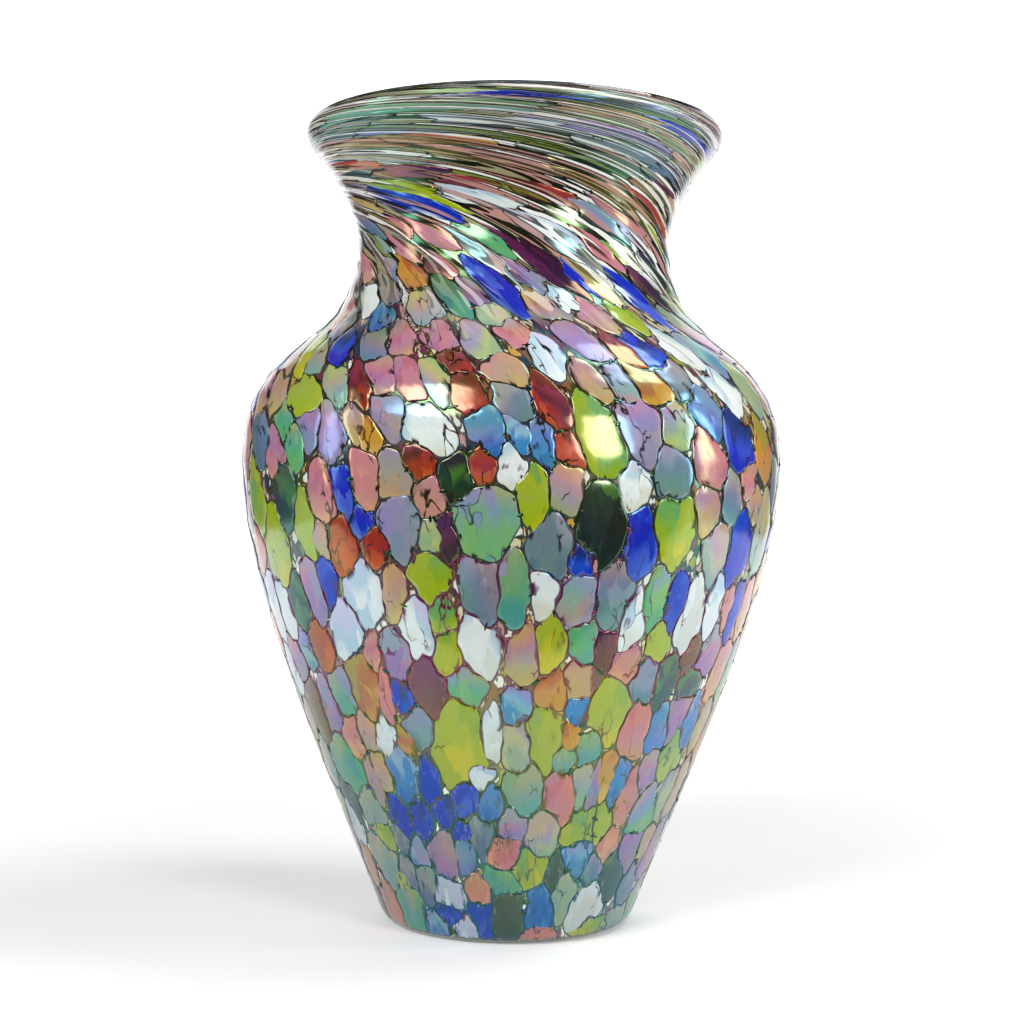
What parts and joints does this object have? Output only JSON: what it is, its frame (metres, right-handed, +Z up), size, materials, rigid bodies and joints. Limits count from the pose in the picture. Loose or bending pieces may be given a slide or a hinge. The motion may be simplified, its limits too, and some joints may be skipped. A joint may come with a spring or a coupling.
{
  "type": "vase",
  "caption": "Hand blown art glass vase: tapered body, round shoulder, narrow neck and flared lip, with fused coloured chips drawn into a twist.",
  "frame": {"origin": "middle of the foot ring, on the surface the vase stands on", "axes": "+Z up along the vase's axis; -Y is the front"},
  "size_m": [0.149, 0.149, 0.22],
  "materials": {
    "clear_glass": "clear blown glass, fire polished",
    "frit_glass": "opaque fine crushed glass of many colours, fused and glossy",
    "lime_glass": "opaque coloured glass, glossy with an iridescent film",
    "cobalt_glass": "opaque coloured glass, glossy with an iridescent film",
    "opal_glass": "opaque coloured glass, glossy with an iridescent film",
    "rose_glass": "opaque coloured glass, glossy with an iridescent film",
    "lilac_glass": "opaque coloured glass, glossy with an iridescent film",
    "jade_glass": "opaque coloured glass, glossy with an iridescent film",
    "celadon_glass": "opaque coloured glass, glossy with an iridescent film",
    "azure_glass": "opaque coloured glass, glossy with an iridescent film",
    "ruby_glass": "opaque coloured glass, glossy with an iridescent film",
    "amber_glass": "opaque coloured glass, glossy with an iridescent film",
    "forest_glass": "opaque coloured glass, glossy with an iridescent film",
    "aubergine_glass": "opaque coloured glass, glossy with an iridescent film",
    "sand_glass": "opaque coloured glass, glossy with an iridescent film",
    "slate_glass": "opaque coloured glass, glossy with an iridescent film"
  },
  "bodies": {
    "root": {"clear_gather": "clear_glass", "frit_ground": "frit_glass", "chips_lime": "lime_glass", "chips_cobalt": "cobalt_glass", "chips_opal": "opal_glass", "chips_rose": "rose_glass", "chips_lilac": "lilac_glass", "chips_jade": "jade_glass", "chips_celadon": "celadon_glass", "chips_azure": "azure_glass", "chips_ruby": "ruby_glass", "chips_amber": "amber_glass", "chips_forest": "forest_glass", "chips_aubergine": "aubergine_glass", "chips_sand": "sand_glass", "chips_slate": "slate_glass", "streaks_lime": "lime_glass", "streaks_cobalt": "cobalt_glass", "streaks_opal": "opal_glass", "streaks_rose": "rose_glass", "streaks_lilac": "lilac_glass", "streaks_jade": "jade_glass", "streaks_celadon": "celadon_glass", "streaks_azure": "azure_glass", "streaks_ruby": "ruby_glass", "streaks_amber": "amber_glass", "streaks_forest": "forest_glass", "streaks_aubergine": "aubergine_glass", "streaks_sand": "sand_glass", "streaks_slate": "slate_glass"}
  },
  "joints": []
}
